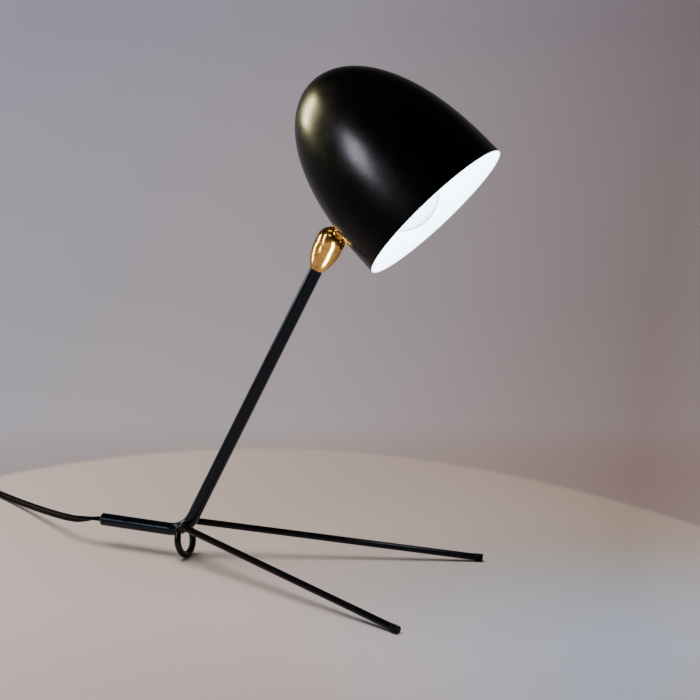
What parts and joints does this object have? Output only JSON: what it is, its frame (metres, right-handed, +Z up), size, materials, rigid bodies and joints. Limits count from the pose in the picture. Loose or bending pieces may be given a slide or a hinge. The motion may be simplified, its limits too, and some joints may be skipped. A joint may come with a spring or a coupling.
{
  "type": "table lamp",
  "caption": "Table lamp with a bent tube stand on splayed rod legs and a rod loop foot, a brass ball swivel, a bullet shade and a flat lead with an in-line switch.",
  "frame": {"origin": "bottom centre of the lamp's box without its lead, on the plane it stands on", "axes": "+Z up, +X the way the arm leans and the two legs run, +Y to the lamp's left"},
  "size_m": [0.6323, 0.2099, 0.3901],
  "materials": {
    "gloss_black_tube": "gloss black lacquer",
    "black_rod": "gloss black lacquer",
    "shade_black": "satin black lacquer outside, white inside",
    "gold_brass": "polished",
    "ball_brass": "satin",
    "steel": "zinc plated",
    "spring_steel": "satin",
    "white_steel": "satin white lacquer",
    "tip_rubber": "matt",
    "nylon": "matt natural nylon",
    "holder_white": "gloss",
    "bulb_glass": "opal white",
    "bulb_shell": "bright",
    "black_plastic": "gloss",
    "rocker_plastic": "gloss",
    "black_bush": "matt",
    "contact_brass": "satin",
    "pin_nickel": "nickel plated",
    "cord_black": "semi-gloss PVC"
  },
  "bodies": {
    "stand": {"stem_tube": "gloss_black_tube", "leg_left": "black_rod", "leg_right": "black_rod", "foot_loop": "black_rod", "weld_beads": "black_rod", "foot_tip_left": "tip_rubber", "foot_tip_right": "tip_rubber", "rear_bush": "black_bush", "inner_lead": "cord_black", "tube_nipple": "steel", "turn_washer": "nylon", "cord_lead": "cord_black", "switch_bottom": "black_plastic", "switch_top": "black_plastic", "switch_screws": "steel", "switch_contacts": "contact_brass", "switch_pin": "steel", "cord_coil": "cord_black", "cord_tie": "black_bush", "cord_tail": "cord_black", "plug_relief": "cord_black", "plug_body": "black_plastic", "plug_pins": "pin_nickel"},
    "swivel": {"swivel_cup": "gold_brass", "swivel_dome": "gold_brass", "disc_springs": "spring_steel", "friction_seat": "nylon"},
    "ball": {"swivel_ball": "ball_brass"},
    "head": {"stem_collar": "gold_brass", "shade": "shade_black", "stem_nut": "steel", "holder_bracket": "white_steel", "holder_nipple": "steel", "holder_nut": "steel", "holder_sleeve": "holder_white", "holder_back": "holder_white", "thread_shell": "bulb_shell", "holder_core": "nylon", "centre_contact": "contact_brass", "bulb_globe": "bulb_glass", "bulb_cap": "bulb_shell", "bulb_insulator": "black_bush", "head_lead": "cord_black"},
    "rocker": {"switch_rocker": "rocker_plastic"}
  },
  "joints": [
    {"name": "swivel_turn", "type": "hinge", "parent": "stand", "child": "swivel", "pos_m": [0.03759, 0, 0.26138], "axis": [0.4617, 0, 0.887], "range_deg": [-150, 150]},
    {"name": "ball_lean", "type": "hinge", "parent": "swivel", "child": "ball", "pos_m": [0.03759, 0, 0.26138], "axis": [0, 1, 0], "range_deg": [-21, 46]},
    {"name": "shade_twist", "type": "hinge", "parent": "ball", "child": "head", "pos_m": [0.03759, 0, 0.26138], "axis": [0.7562, 0, 0.6543], "range_deg": [-45, 45]},
    {"name": "switch_press", "type": "hinge", "parent": "stand", "child": "rocker", "pos_m": [-0.36394, 0.09611, 0.0116], "axis": [-0.3907, -0.9205, 0], "range_deg": [-16, 0]}
  ]
}
